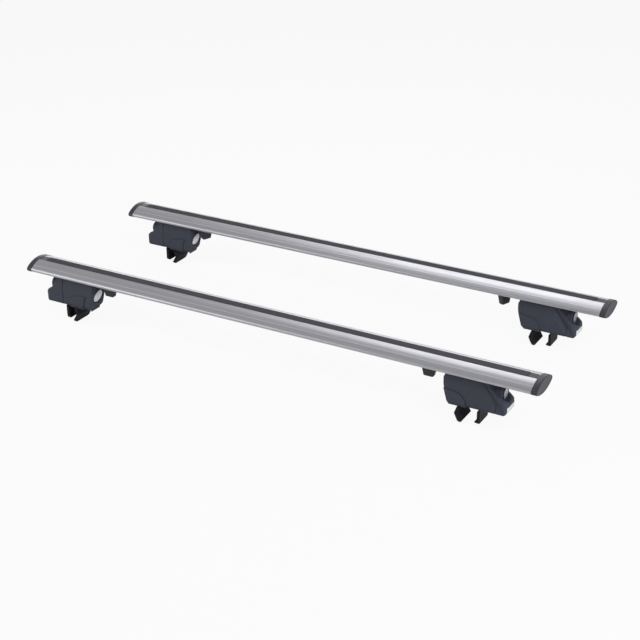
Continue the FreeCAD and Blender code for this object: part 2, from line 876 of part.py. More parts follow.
def bar_pieces(bar, y, stop_turn):
    cap = end_cap()
    knob = stop()
    return {
        bar + "_bar": placed(bar_profile(), 0, y, 0),
        bar + "_strip": placed(strip(), 0, y, 0),
        bar + "_right_cap": placed(cap, 0, y, 0),
        bar + "_left_cap": placed(cap, 0, y, 180),
        bar + "_right_stop": placed(knob, bar_length / 2 - right_stop_setback, y, stop_turn),
        bar + "_left_stop": placed(knob, left_stop_setback - bar_length / 2, y, stop_turn),
    }


def foot_places():
    """Each foot's name, its place along the bar, its turn and the opening of its jaws."""
    end = bar_length / 2
    front_opening = jaw_travel() - front_right_jaw_slack
    rear_opening = jaw_travel() - rear_right_jaw_slack
    return {
        "front": [("front_left", front_left_foot_setback - end, 0, 0.0),
                  ("front_right", end - front_right_foot_setback, 180, front_opening)],
        "rear": [("rear_left", rear_left_foot_setback - end, 0, 0.0),
                 ("rear_right", end - rear_right_foot_setback, 180, rear_opening)],
    }


def build():
    pieces = {}
    foot = foot_pieces()
    bars = (("front", -bar_spacing / 2, front_stop_turn), ("rear", bar_spacing / 2, rear_stop_turn))
    for bar, y, stop_turn in bars:
        pieces.update(bar_pieces(bar, y, stop_turn))
        for place, x, turn, opening in foot_places()[bar]:
            for name, shape, slides in foot:
                shift = opening if slides else 0
                moved = shape.translated(FreeCAD.Vector(shift, 0, 0))
                pieces[f"{place}_{name}"] = placed(moved, x, y, turn)
    return pieces


def main():
    os.makedirs("parts", exist_ok=True)
    for name, shape in build().items():
        shape.exportStep(f"parts/{name}.step")
        print(name, "solids", len(shape.Solids), "valid", shape.isValid(), "volume", round(shape.Volume))


main()
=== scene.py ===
import json
import math

import bmesh
import bpy
from bpy.props import FloatProperty, FloatVectorProperty, IntProperty, PointerProperty
from mathutils import Matrix, Vector
from mathutils.bvhtree import BVHTree

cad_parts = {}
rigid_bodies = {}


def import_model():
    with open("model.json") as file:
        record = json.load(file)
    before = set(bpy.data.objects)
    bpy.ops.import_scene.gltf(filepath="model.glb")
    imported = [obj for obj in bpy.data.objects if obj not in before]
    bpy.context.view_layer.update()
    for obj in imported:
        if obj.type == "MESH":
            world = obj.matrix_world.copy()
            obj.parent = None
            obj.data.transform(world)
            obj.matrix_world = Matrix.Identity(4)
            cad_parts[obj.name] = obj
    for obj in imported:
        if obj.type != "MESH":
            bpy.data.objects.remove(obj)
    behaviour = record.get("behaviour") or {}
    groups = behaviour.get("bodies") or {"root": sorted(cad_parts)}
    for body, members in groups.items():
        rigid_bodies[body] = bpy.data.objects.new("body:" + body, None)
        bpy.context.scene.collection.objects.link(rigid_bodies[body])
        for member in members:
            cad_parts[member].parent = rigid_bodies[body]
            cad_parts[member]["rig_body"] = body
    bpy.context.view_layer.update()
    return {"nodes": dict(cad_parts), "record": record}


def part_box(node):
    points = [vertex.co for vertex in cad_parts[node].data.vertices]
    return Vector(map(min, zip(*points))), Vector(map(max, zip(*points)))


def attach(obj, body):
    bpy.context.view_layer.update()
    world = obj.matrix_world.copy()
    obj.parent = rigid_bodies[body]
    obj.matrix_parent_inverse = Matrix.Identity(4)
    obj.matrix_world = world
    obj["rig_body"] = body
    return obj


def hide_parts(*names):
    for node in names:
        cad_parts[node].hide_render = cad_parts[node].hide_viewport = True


bl_info = {
    "name": "Roof rack",
    "version": (1, 0, 0),
    "blender": (4, 5, 0),
    "location": "View3D > Sidebar > Rack",
    "description": "Finishes a pair of roof bars with clamp feet",
    "category": "Object",
}

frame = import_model()
nodes = frame["nodes"]

BARS = ("front", "rear")
ENDS = ("left", "right")
FEET = [f"{bar}_{end}" for bar in BARS for end in ENDS]

# The finish of each material slot
MATERIAL_OF = {
    "bar_aluminium": "drawn_aluminium",
    "strip_rubber": "strip_rubber",
    "cap_plastic": "cap_plastic",
    "stop_plastic": "stop_plastic",
    "foot_plastic": "foot_plastic",
    "lock_metal": "lock_metal",
    "badge_plastic": "badge_gloss",
    "frame_steel": "coated_frame",
    "jaw_steel": "coated_jaw",
    "bolt_steel": "zinc_plate",
    "pad_rubber": "pad_rubber",
}

# The spans that noise is stretched from, as it seldom goes beyond them
NOISE_SPAN = (0.3, 0.7)
TIGHT_SPAN = (0.35, 0.65)

# Shares of their faces that softened pieces keep, and the part of the way to its
# neighbours' middle that a smoothing pass moves a point
LARGE_KEEP = 0.35
SMALL_KEEP = 0.4
SMOOTHING = 0.5

# Distances in which points are one, in a CAD mesh and in a turned shape
MESH_MERGE = 1e-6
TURN_MERGE = 1e-7

# What counts as a flat's faces: how squarely they face its way, and how level they lie
FLAT_FACING = 0.9
FLAT_LEVEL = 2e-5

# Steps round a turned shape, along a dome, round a corner, across a rib, up a tongue, and
# across and up a label
TURN_STEPS = 96
DOME_STEPS = 12
CORNER_STEPS = 6
RIB_STEPS = 8
TONGUE_STEPS = 12
LABEL_STEPS = (32, 24)

# Sections of small turned shapes, as radius and height in tenths of a millimetre
TENTH = 0.0001
BADGE_GROOVE = ((1, -2), (3, 0), (5, 3))
BADGE_RIM = ((-5, 3), (-1, 0), (0, -4))
LIP_INSIDE = ((0, -12), (0, -3), (3, 0))
LIP_OUTSIDE = ((-3, 0), (0, -3), (0, -12))
RIM_INSIDE = ((0, 0), (0, 5), (2, 7))
RIM_OUTSIDE = ((-1, 7), (3, 3), (3, -14), (0, -14), (0, 0))
RING_SECTION = ((-4, 0), (-3, 2.5), (0, 3), (3, 2.5), (4, 0))

# The power that a rib's wave is raised to, which widens its top
RIB_FULLNESS = 0.6

# Height and half width of the painted highlight, a lighter line of colour along a bar's flanks
HIGHLIGHT_LINE_LEVEL = 0.1235
HIGHLIGHT_LINE_REACH = 0.0004

# Each lamp's place, size, power and the rays that it is hidden from. Metal mirrors only the
# back, low and sill lamps, so that its faces don't turn white in the views from behind.
LAMPS = {
    "key": ((1.9, -1.1, 1.7), (1.6, 1.6), 34.0, "visible_glossy"),
    "front": ((-1.6, -1.4, 1.5), (1.4, 1.4), 26.0, "visible_glossy"),
    "side": ((4.0, 0.0, 0.6), (2.4, 1.6), 85.0, "visible_glossy"),
    "back": ((-0.35, 1.25, 1.9), (1.3, 1.3), 9.0, None),
    "low": ((-1.7, -1.9, 0.9), (1.4, 1.8), 11.0, "visible_diffuse"),
    "sill": ((-1.3, 2.0, 0.62), (3.2, 0.7), 12.0, "visible_diffuse"),
}
LAMP_TARGET = (0.0, 0.0, 0.1)

# Strength of the white surround where it lights the object and where it is mirrored
SURROUND_LIGHT = 0.22
SURROUND_MIRRORED = 0.42

# Half the floor's side, and the share of white that the camera sees in it
FLOOR_REACH = 12.0
FLOOR_WHITE = 0.92

# The photograph's camera: its place, its turn, height angle and roll in degrees, its lens
# and sensor in millimetres, and how far it sees
CAMERA_PLACE = (1.3873, -2.4025, 1.36866)
CAMERA_TURN = 29.708
CAMERA_HEIGHT = 25.764
CAMERA_ROLL = -0.5237
CAMERA_LENS = 78.11
CAMERA_SENSOR = 36.0
CAMERA_REACH = 50.0


# Settings that a user would change

def colour(name, text, value):
    return FloatVectorProperty(
        name=name, description=text, subtype="COLOR", size=3, min=0, max=1, default=value)


def length(name, text, value, low=0.0):
    return FloatProperty(
        name=name, description=text, unit="LENGTH", default=value, min=low, precision=5)


def count(name, text, value, low=1):
    return IntProperty(name=name, description=text, default=value, min=low)


class FinishSettings(bpy.types.PropertyGroup):
    aluminium: colour("Aluminium", "Colour of the drawn bars", (0.60, 0.60, 0.64))
    strip: colour("Strip", "Colour of the rubber strips", (0.062, 0.060, 0.066))
    cap: colour("Caps", "Colour of the end caps", (0.024, 0.024, 0.028))
    moulding: colour("Mouldings", "Colour of housings, covers and saddles", (0.032, 0.032, 0.055))
    stop: colour("Stops", "Colour of the stops under the bars", (0.028, 0.028, 0.036))
    disc: colour("Discs", "Colour of the lock discs and the badges", (0.80, 0.80, 0.86))
    coat: colour("Steel coat", "Colour of the coated jaws and frames", (0.006, 0.007, 0.012))
    pad: colour("Jaw pads", "Colour of the rubber on the jaws", (0.009, 0.009, 0.010))
    zinc: colour("Zinc", "Colour of the plated bolts", (0.62, 0.62, 0.60))
    label: colour("Labels", "Colour of the plain labels", (0.66, 0.66, 0.70))


class PieceSettings(bpy.types.PropertyGroup):
    moulding_voxel: length("Moulding detail", "Mesh spacing of softened mouldings", 0.0009, 0.0005)
    moulding_softness: count("Moulding softness", "Smoothing passes over a moulding's edges", 7)
    cap_softness: count("Cap softness", "Smoothing passes over a cap's edges", 4)
    stop_lifted: length("Lifted part", "Height of the part of a stop that is lifted", 0.0054)
    stop_lift: length("Lift", "How far a stop's head is lifted off the slot's lips", 0.0002)
    jaw_voxel: length("Jaw detail", "Mesh spacing of the softened jaws", 0.0008, 0.0005)
    jaw_softness: count("Jaw softness", "Smoothing passes over a jaw's edges", 3)
    tongue_low: length("Tongue level", "Height over the floor of a seam's tongue", 0.0420)
    tongue_height: length("Tongue height", "Height of a seam's tongue", 0.0180)
    tongue_width: length("Tongue width", "Width of a seam's tongue across the seam", 0.0070)
    tongue_thickness: length("Tongue thickness", "Thickness of a seam's tongue", 0.0010)
    rib_count: count("Strip ribs", "Ribs along the top of a strip", 9, 3)
    rib_height: length("Rib height", "Height of the ribs on a strip", 0.0004)
    badge_margin: length("Badge margin", "Width of a badge's edge outside its face", 0.0003)
    badge_rise: length("Badge rise", "Height of a badge's face in its recess", 0.0028)
    badge_dome: length("Badge dome", "Rise of a badge's middle over its edge", 0.0010)
    badge_rim: length("Badge rim", "Width of the raised rim round a badge", 0.0014)
    lip_gap: length("Lip gap", "Gap between a badge and the lip round it", 0.0021)
    lip_width: length("Lip width", "Width of the lip round a badge", 0.0014)
    lip_level: length("Lip level", "Height of the lip over the seat of a badge", 0.0050)
    disc_rim: length("Disc rim", "Width of the dark rim round a lock disc", 0.0015)
    disc_ring: length("Disc ring", "Radius of the raised ring on a lock disc", 0.0056)
    key_width: length("Keyhole width", "Width of a keyhole", 0.0016)
    key_height: length("Keyhole height", "Height of a keyhole", 0.0080)
    key_corner: length("Keyhole corner", "Radius of the corners of a keyhole's frame", 0.0010)
    # A keyhole's dark floor and dark frame are painted shade, dark pieces that stand for the shade
    # in the keyway
    key_shade_depth: length("Keyhole depth", "Depth of the dark floor of a keyhole", 0.0012)
    key_shade_frame: length("Keyhole frame", "Width of the dark frame round a keyhole", 0.0006)
    label_width: length("Label width", "Width of a label across the foot", 0.036)
    label_height: length("Label height", "Height of a label", 0.0120)
    label_middle: length("Label middle", "Height of a label's middle over the floor", 0.0505)
    label_corner: length("Label corner", "Radius of a label's corners", 0.0015)
    label_film: length("Label film", "Thickness of a label", 0.0003)


class StageSettings(bpy.types.PropertyGroup):
    floor: colour("Floor", "Colour of the floor", (0.66, 0.66, 0.67))
    level: FloatProperty(
        name="Light level", description="Strength of all the lamps together", default=1.0, min=0)


# Shader node groups

def new_group(name, inputs, outputs):
    """An empty shader group, with inputs (name, socket type, default) and outputs (name, type)."""
    group = bpy.data.node_groups.new(name, "ShaderNodeTree")
    for label, kind, value in inputs:
        socket = group.interface.new_socket(name=label, in_out="INPUT", socket_type=kind)
        socket.default_value = value
    for label, kind in outputs:
        group.interface.new_socket(name=label, in_out="OUTPUT", socket_type=kind)
    return group, group.nodes.new("NodeGroupInput"), group.nodes.new("NodeGroupOutput")


def node(tree, kind, links=None, **settings):
    """A node with its settings. Links gives, for an input, a value or the output that feeds it."""
    made = tree.nodes.new(kind)
    for key, value in settings.items():
        setattr(made, key, value)
    for key, value in (links or {}).items():
        if isinstance(value, bpy.types.NodeSocket):
            tree.links.new(value, made.inputs[key])
        else:
            made.inputs[key].default_value = value
    return made


def spread(tree, value, low, high, to_low=0.0, to_high=1.0):
    """A value's range from low to high stretched onto another range."""
    mapped = node(tree, "ShaderNodeMapRange", {
        "Value": value, "From Min": low, "From Max": high, "To Min": to_low, "To Max": to_high})
    return mapped.outputs["Result"]


def noise(tree, place, scale, detail):
    """Noise over a place's vector, as a value round a half."""
    return node(tree, "ShaderNodeTexNoise", {
        "Vector": place, "Scale": scale, "Detail": detail}).outputs["Fac"]


def product(tree, first, second):
    """Two values multiplied, each a number or the output that gives it."""
    return node(tree, "ShaderNodeMath", {0: first, 1: second}, operation="MULTIPLY").outputs[0]


def grain_group():
    """Fine moulded grain and slow unevenness, both as values round a half."""
    group, entry, leave = new_group(
        "moulded_grain",
        [("Grain Scale", "NodeSocketFloat", 1500.0), ("Cloud Scale", "NodeSocketFloat", 25.0)],
        [("Grain", "NodeSocketFloat"), ("Cloud", "NodeSocketFloat")])
    place = node(group, "ShaderNodeTexCoord").outputs["Object"]
    for name, detail in (("Grain", 2.0), ("Cloud", 4.0)):
        values = noise(group, place, entry.outputs[name + " Scale"], detail)
        group.links.new(values, leave.inputs[name])


def drawn_group():
    """Lines along X as drawing through a die leaves them, fine and broad, and slow patches."""
    group, entry, leave = new_group(
        "drawn_lines",
        [("Fine Scale", "NodeSocketFloat", 1600.0), ("Broad Scale", "NodeSocketFloat", 180.0)],
        [("Fine", "NodeSocketFloat"), ("Broad", "NodeSocketFloat"), ("Patch", "NodeSocketFloat")])
    place = node(group, "ShaderNodeTexCoord").outputs["Object"]
    squeezed = node(group, "ShaderNodeMapping", {"Vector": place, "Scale": (0.006, 1.0, 1.0)})
    for name in ("Fine", "Broad"):
        lines = noise(group, squeezed.outputs["Vector"], entry.outputs[name + " Scale"], 3.0)
        group.links.new(lines, leave.inputs[name])
    group.links.new(noise(group, place, 9.0, 3.0), leave.inputs["Patch"])


def dust_group():
    """How much dust lies on a surface: more where it faces up, broken by noise."""
    group, entry, leave = new_group(
        "settled_dust", [("Amount", "NodeSocketFloat", 0.2)], [("Dust", "NodeSocketFloat")])
    shape = node(group, "ShaderNodeNewGeometry")
    place = node(group, "ShaderNodeTexCoord").outputs["Object"]
    parts = node(group, "ShaderNodeSeparateXYZ", {"Vector": shape.outputs["Normal"]})
    upward = spread(group, parts.outputs["Z"], 0.1, 1.0)
    broken = spread(group, noise(group, place, 240.0, 6.0), 0.42, 0.7)
    dust = product(group, product(group, upward, broken), entry.outputs["Amount"])
    group.links.new(dust, leave.inputs["Dust"])


def placed_group(tree, group, **inputs):
    """A group's outputs in a tree, with its inputs set, as in grain_scale=900.0."""
    made = node(tree, "ShaderNodeGroup", node_tree=bpy.data.node_groups[group])
    for key, value in inputs.items():
        made.inputs[key.replace("_", " ").title()].default_value = value
    return made.outputs


# Materials

def new_material(name, **sockets):
    """A material's tree and its Principled shader, with plain sockets set."""
    material = bpy.data.materials.new(name)
    material.use_nodes = True
    shader = material.node_tree.nodes["Principled BSDF"]
    for key, value in sockets.items():
        shader.inputs[key.replace("_", " ").title().replace("Ior", "IOR")].default_value = value
    return material.node_tree, shader


def tone(base, factor):
    """A colour with its brightness times a factor."""
    return tuple(min(1.0, c * factor) for c in base) + (1.0,)


def blended(tree, amount, first, second):
    """A mix of two colours, each a value or the output that gives it."""
    mix = node(tree, "ShaderNodeMix", {0: amount, 6: first, 7: second}, data_type="RGBA")
    return mix.outputs[2]


def clouded(tree, cloud, base, low, high, span=NOISE_SPAN):
    """A colour that drifts between two brightnesses of itself."""
    return blended(tree, spread(tree, cloud, *span), tone(base, low), tone(base, high))


def roughened(tree, shader, value, low, high, span=NOISE_SPAN):
    """Let the roughness follow a value, between two limits."""
    tree.links.new(spread(tree, value, *span, low, high), shader.inputs["Roughness"])


def coloured(tree, shader, output):
    """Let the base colour follow an output."""
    tree.links.new(output, shader.inputs["Base Color"])


def bumped(tree, shader, height, distance, strength=1.0):
    """Let a value shift the surface, by up to a distance in metres."""
    bump = node(tree, "ShaderNodeBump", {
        "Height": height, "Distance": distance, "Strength": strength})
    tree.links.new(bump.outputs["Normal"], shader.inputs["Normal"])


def moulded_plastic(name, base, gloss, rough, grain, cloud, dust, bump):
    """Injection moulded plastic with a fine grain, slight clouds and a little dust."""
    tree, shader = new_material(name, specular_ior_level=gloss)
    surface = placed_group(tree, "moulded_grain", grain_scale=grain, cloud_scale=cloud)
    settled = placed_group(tree, "settled_dust", amount=dust)
    shade = clouded(tree, surface["Cloud"], base, 0.86, 1.16)
    coloured(tree, shader, blended(tree, settled["Dust"], shade, (0.30, 0.30, 0.31, 1.0)))
    roughened(tree, shader, surface["Cloud"], rough - 0.05, rough + 0.06)
    bumped(tree, shader, surface["Grain"], bump)


def painted_highlight_line(tree):
    """A mask of the painted highlight, a fine lighter line of colour along a bar's flanks, a set
    height over the floor.
    """
    place = node(tree, "ShaderNodeTexCoord").outputs["Object"]
    parts = node(tree, "ShaderNodeSeparateXYZ", {"Vector": place})
    near = node(tree, "ShaderNodeMath", {
        0: parts.outputs["Z"], 1: HIGHLIGHT_LINE_LEVEL, 2: HIGHLIGHT_LINE_REACH}, operation="COMPARE")
    return near.outputs[0]


def drawn_aluminium(base):
    """Anodised bar stock with lines along its length, and a painted highlight line along its
    flanks.
    """
    tree, shader = new_material("drawn_aluminium", metallic=1.0)
    lines = placed_group(tree, "drawn_lines")
    fine = spread(tree, lines["Fine"], *NOISE_SPAN)
    shade = clouded(tree, lines["Broad"], base, 0.88, 1.08, TIGHT_SPAN)
    streaked = blended(tree, fine, shade, tone(base, 1.0))
    # Painted highlight: the colour is lightened along a thin line on the bar's flanks
    coloured(tree, shader, blended(tree, painted_highlight_line(tree), streaked, tone(base, 1.35)))
    mixed = node(tree, "ShaderNodeMath", {0: fine, 1: lines["Patch"]}, operation="ADD")
    roughened(tree, shader, mixed.outputs[0], 0.30, 0.46, (0.4, 1.4))
    bumped(tree, shader, lines["Fine"], 0.00004, 0.6)


def coated_steel(name, base, rough):
    """Steel under a baked black coat with a slight orange peel and a little pale dust."""
    tree, shader = new_material(name, specular_ior_level=0.25)
    surface = placed_group(tree, "moulded_grain", grain_scale=420.0, cloud_scale=60.0)
    settled = placed_group(tree, "settled_dust", amount=0.04)
    coloured(tree, shader, blended(
        tree, settled["Dust"], tone(base, 1.0), (0.22, 0.22, 0.22, 1.0)))
    roughened(tree, shader, surface["Cloud"], rough - 0.06, rough + 0.08)
    bumped(tree, shader, surface["Grain"], 0.00012)


def plated_steel(base):
    """Zinc plated steel with turning marks and blotches."""
    tree, shader = new_material("zinc_plate", metallic=1.0)
    surface = placed_group(tree, "moulded_grain", grain_scale=900.0, cloud_scale=140.0)
    coloured(tree, shader, clouded(tree, surface["Cloud"], base, 0.8, 1.1, TIGHT_SPAN))
    roughened(tree, shader, surface["Grain"], 0.28, 0.44)
    bumped(tree, shader, surface["Grain"], 0.00003)


def rubber(name, base, rough, dust):
    """Matt rubber with a faint bloom."""
    tree, shader = new_material(name, specular_ior_level=0.35)
    surface = placed_group(tree, "moulded_grain", grain_scale=2200.0, cloud_scale=45.0)
    settled = placed_group(tree, "settled_dust", amount=dust)
    shade = clouded(tree, surface["Cloud"], base, 0.85, 1.2)
    coloured(tree, shader, blended(tree, settled["Dust"], shade, (0.26, 0.26, 0.27, 1.0)))
    roughened(tree, shader, surface["Cloud"], rough - 0.05, rough + 0.05)
    bumped(tree, shader, surface["Grain"], 0.00006)


def gloss_plastic(name, base, rough):
    """Smooth pale plastic with faint flow marks."""
    tree, shader = new_material(name, coat_weight=0.4, coat_roughness=0.12)
    surface = placed_group(tree, "moulded_grain", grain_scale=700.0, cloud_scale=60.0)
    coloured(tree, shader, clouded(tree, surface["Cloud"], base, 0.97, 1.02))
    roughened(tree, shader, surface["Cloud"], rough - 0.04, rough + 0.05)
    bumped(tree, shader, surface["Grain"], 0.00002)


def floor_paper(base):
    """A pale floor that looks nearly white and keeps the shadow."""
    tree, shader = new_material("floor_paper", roughness=0.9, specular_ior_level=0.1)
    cloud = node(tree, "ShaderNodeTexNoise", {"Scale": 1.5})
    coloured(tree, shader, blended(tree, cloud.outputs["Fac"], tone(base, 0.99), tone(base, 1.01)))
    rays = node(tree, "ShaderNodeLightPath")
    glow = node(tree, "ShaderNodeEmission", {"Color": (1, 1, 1, 1), "Strength": 1.0})
    seen = product(tree, rays.outputs["Is Camera Ray"], FLOOR_WHITE)
    mix = node(tree, "ShaderNodeMixShader", {0: seen, 1: shader.outputs[0], 2: glow.outputs[0]})
    tree.links.new(mix.outputs[0], tree.nodes["Material Output"].inputs["Surface"])


def give(piece, material):
    """Make a material a piece's only one."""
    piece.data.materials.clear()
    piece.data.materials.append(bpy.data.materials[material])


# Meshes

def finished(name, bm, material, body):
    """A bmesh as a smooth object at the origin that rides on a body."""
    mesh = bpy.data.meshes.new(name)
    bm.to_mesh(mesh)
    bm.free()
    piece = bpy.data.objects.new(name, mesh)
    bpy.context.scene.collection.objects.link(piece)
    give(piece, material)
    for face in mesh.polygons:
        face.use_smooth = True
    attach(piece, body)
    return piece


def body_of(name):
    """The body that a node is part of."""
    return nodes[name]["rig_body"]


def softened(name, voxel, passes, keep, material):
    """A CAD node's shape with its edges rounded off, standing for that node."""
    bm = bmesh.new()
    bm.from_mesh(nodes[name].data)
    bmesh.ops.remove_doubles(bm, verts=bm.verts, dist=MESH_MERGE)
    rough = bpy.data.meshes.new(name + "_rough")
    bm.to_mesh(rough)
    bm.free()
    shaped = bpy.data.objects.new(name + "_rough", rough)
    bpy.context.scene.collection.objects.link(shaped)
    remesh = shaped.modifiers.new("voxels", "REMESH")
    remesh.mode = "VOXEL"
    remesh.voxel_size = voxel
    smooth = shaped.modifiers.new("soft edges", "SMOOTH")
    smooth.factor = SMOOTHING
    smooth.iterations = passes
    thin = shaped.modifiers.new("fewer faces", "DECIMATE")
    thin.ratio = keep
    bpy.context.view_layer.update()
    graph = bpy.context.evaluated_depsgraph_get()
    mesh = bpy.data.meshes.new_from_object(shaped.evaluated_get(graph))
    bpy.data.objects.remove(shaped)
    bpy.data.meshes.remove(rough)
    bm = bmesh.new()
    bm.from_mesh(mesh)
    bpy.data.meshes.remove(mesh)
    piece = finished(name + "_form", bm, material, body_of(name))
    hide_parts(name)
    return piece


def outward(foot):
    """The way from the middle of the bars to a foot's outer end."""
    return Vector((-1.0 if foot.endswith("left") else 1.0, 0.0, 0.0))


def outer_flat(name, way):
    """The middle of the flat of a node that lies farthest a way, and the way that it faces."""
    flats = [face for face in nodes[name].data.polygons if face.normal.dot(way) > FLAT_FACING]
    facing = sum((face.normal * face.area for face in flats), Vector()).normalized()
    reach = max(face.center.dot(facing) for face in flats)
    flats = [face for face in flats if face.center.dot(facing) > reach - FLAT_LEVEL]
    area = sum(face.area for face in flats)
    middle = sum((face.center * face.area for face in flats), Vector()) / area
    return middle, facing


def laid_on(bm, middle, way):
    """Shift a shape drawn round Z onto a place, its Z turned that way and its Y kept level."""
    turn = way.to_track_quat("Z", "Y").to_matrix().to_4x4()
    bmesh.ops.transform(bm, matrix=Matrix.Translation(middle) @ turn, verts=bm.verts)


def section(radius, height, points):
    """Part of a section, its points given in tenths of a millimetre from a radius and height."""
    return [(radius + TENTH * across, height + TENTH * up) for across, up in points]


def turned(profile, closed=True):
    """A shape turned about Z from points (radius, height), a ring if the profile is closed."""
    bm = bmesh.new()
    points = [bm.verts.new((r, 0, h)) for r, h in profile]
    pairs = list(zip(points, points[1:]))
    if closed:
        pairs.append((points[-1], points[0]))
    edges = [bm.edges.new(pair) for pair in pairs]
    bmesh.ops.spin(bm, geom=points + edges, cent=(0, 0, 0), axis=(0, 0, 1),
                   angle=2 * math.pi, steps=TURN_STEPS, use_merge=True)
    bmesh.ops.remove_doubles(bm, verts=bm.verts, dist=TURN_MERGE)
    bmesh.ops.recalc_face_normals(bm, faces=bm.faces)
    return bm


def oval(half_width, half_height, corner):
    """Points round an upright rectangle with rounded corners."""
    points = []
    for quarter in range(4):
        across = 1 if quarter in (0, 3) else -1
        up = 1 if quarter < 2 else -1
        for step in range(CORNER_STEPS + 1):
            angle = math.pi / 2 * (quarter + step / CORNER_STEPS)
            points.append((across * (half_width - corner) + corner * math.cos(angle),
                           up * (half_height - corner) + corner * math.sin(angle)))
    return points


def oval_frame(half_width, half_height, corner, width, low, high):
    """A flat frame with rounded corners, its opening a width in from its outline."""
    bm = bmesh.new()
    outline = [bm.verts.new((x, y, low)) for x, y in oval(half_width, half_height, corner)]
    plate = bm.faces.new(outline)
    bmesh.ops.inset_region(bm, faces=[plate], thickness=width, use_even_offset=True)
    bmesh.ops.delete(bm, geom=[plate], context="FACES_ONLY")
    raised = bmesh.ops.extrude_face_region(bm, geom=bm.faces[:])["geom"]
    lifted = [item for item in raised if isinstance(item, bmesh.types.BMVert)]
    bmesh.ops.translate(bm, verts=lifted, vec=(0.0, 0.0, high - low))
    bmesh.ops.recalc_face_normals(bm, faces=bm.faces)
    return bm


def surface_of(piece):
    """A piece's surface, for rays to find."""
    mesh = piece.data
    return BVHTree.FromPolygons([vert.co for vert in mesh.vertices],
                                [face.vertices for face in mesh.polygons])


class Step(bpy.types.Operator):
    bl_options = {"REGISTER", "UNDO"}


class RACK_OT_finishes(Step):
    """Make the finishes and give each node its own"""
    bl_idname = "rack.finishes"
    bl_label = "Finishes"

    def execute(self, context):
        look = context.scene.rack_finish
        grain_group()
        drawn_group()
        dust_group()
        drawn_aluminium(look.aluminium)
        moulded_plastic("foot_plastic", look.moulding, gloss=0.28, rough=0.42,
                        grain=1500.0, cloud=22.0, dust=0.05, bump=0.00005)
        moulded_plastic("cap_plastic", look.cap, gloss=0.0, rough=0.50,
                        grain=1300.0, cloud=30.0, dust=0.08, bump=0.00006)
        moulded_plastic("stop_plastic", look.stop, gloss=0.15, rough=0.46,
                        grain=1300.0, cloud=40.0, dust=0.03, bump=0.00006)
        rubber("strip_rubber", look.strip, rough=0.62, dust=0.22)
        rubber("pad_rubber", look.pad, rough=0.66, dust=0.08)
        coated_steel("coated_jaw", look.coat, rough=0.38)
        coated_steel("coated_frame", look.coat, rough=0.44)
        plated_steel(look.zinc)
        gloss_plastic("badge_gloss", look.disc, rough=0.26)
        gloss_plastic("lock_metal", look.disc, rough=0.30)
        gloss_plastic("label_film", look.label, rough=0.34)
        for part in frame["record"]["subparts"]:
            give(nodes[part["node"]], MATERIAL_OF[part["material_slot"]])
        return {"FINISHED"}


class RACK_OT_mouldings(Step):
    """Round the edges of the housings, covers, saddles, caps and stops"""
    bl_idname = "rack.mouldings"
    bl_label = "Mouldings"

    def execute(self, context):
        sizes = context.scene.rack_pieces
        voxel = sizes.moulding_voxel
        for foot in FEET:
            for part in ("housing", "outer_cover", "jaw_saddle"):
                softened(f"{foot}_{part}", voxel, sizes.moulding_softness, LARGE_KEEP,
                         "foot_plastic")
        for bar in BARS:
            for end in ENDS:
                softened(f"{bar}_{end}_cap", voxel, sizes.cap_softness, SMALL_KEEP,
                         "cap_plastic")
                name = f"{bar}_{end}_stop"
                stop = softened(name, voxel, sizes.moulding_softness, SMALL_KEEP,
                                "stop_plastic")
                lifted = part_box(name)[1].z - sizes.stop_lifted
                for vert in stop.data.vertices:
                    if vert.co.z > lifted:
                        vert.co.z += sizes.stop_lift
        return {"FINISHED"}


class RACK_OT_jaws(Step):
    """Round the edges of the pressed jaws"""
    bl_idname = "rack.jaws"
    bl_label = "Jaws"

    def execute(self, context):
        sizes = context.scene.rack_pieces
        for foot in FEET:
            for part in ("outer_jaw", "inner_jaw"):
                softened(f"{foot}_{part}", sizes.jaw_voxel, sizes.jaw_softness, SMALL_KEEP,
                         "coated_jaw")
        return {"FINISHED"}


class RACK_OT_tongues(Step):
    """Close the seams between housings and covers from inside, where daylight would show"""
    bl_idname = "rack.tongues"
    bl_label = "Seam tongues"

    seam_inset = 0.002
    ray_start = 0.1
    ray_step = 1e-4
    clearance = 0.0002

    def execute(self, context):
        sizes = context.scene.rack_pieces
        for foot in FEET:
            housing = f"{foot}_housing"
            skin = surface_of(bpy.data.objects[housing + "_form"])
            low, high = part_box(housing)
            way = outward(foot)
            inward = Vector((0.0, way.x, 0.0))
            seam = (high.x if way.x > 0 else low.x) - way.x * self.seam_inset
            bm = bmesh.new()
            bmesh.ops.create_grid(bm, x_segments=1, y_segments=TONGUE_STEPS, size=1.0)
            for vert in bm.verts:
                level = sizes.tongue_low + (vert.co.y + 1.0) / 2 * sizes.tongue_height
                start = Vector((seam, (low.y + high.y) / 2, level)) - inward * self.ray_start
                outer = skin.ray_cast(start, inward)[0]
                inner = skin.ray_cast(outer + inward * self.ray_step, inward)[0]
                across = vert.co.x * sizes.tongue_width / 2
                vert.co = inner + inward * self.clearance + way * across
            bmesh.ops.solidify(bm, geom=bm.faces, thickness=sizes.tongue_thickness)
            bmesh.ops.recalc_face_normals(bm, faces=bm.faces)
            finished(f"{foot}_seam_tongue", bm, "foot_plastic", body_of(housing))
        return {"FINISHED"}


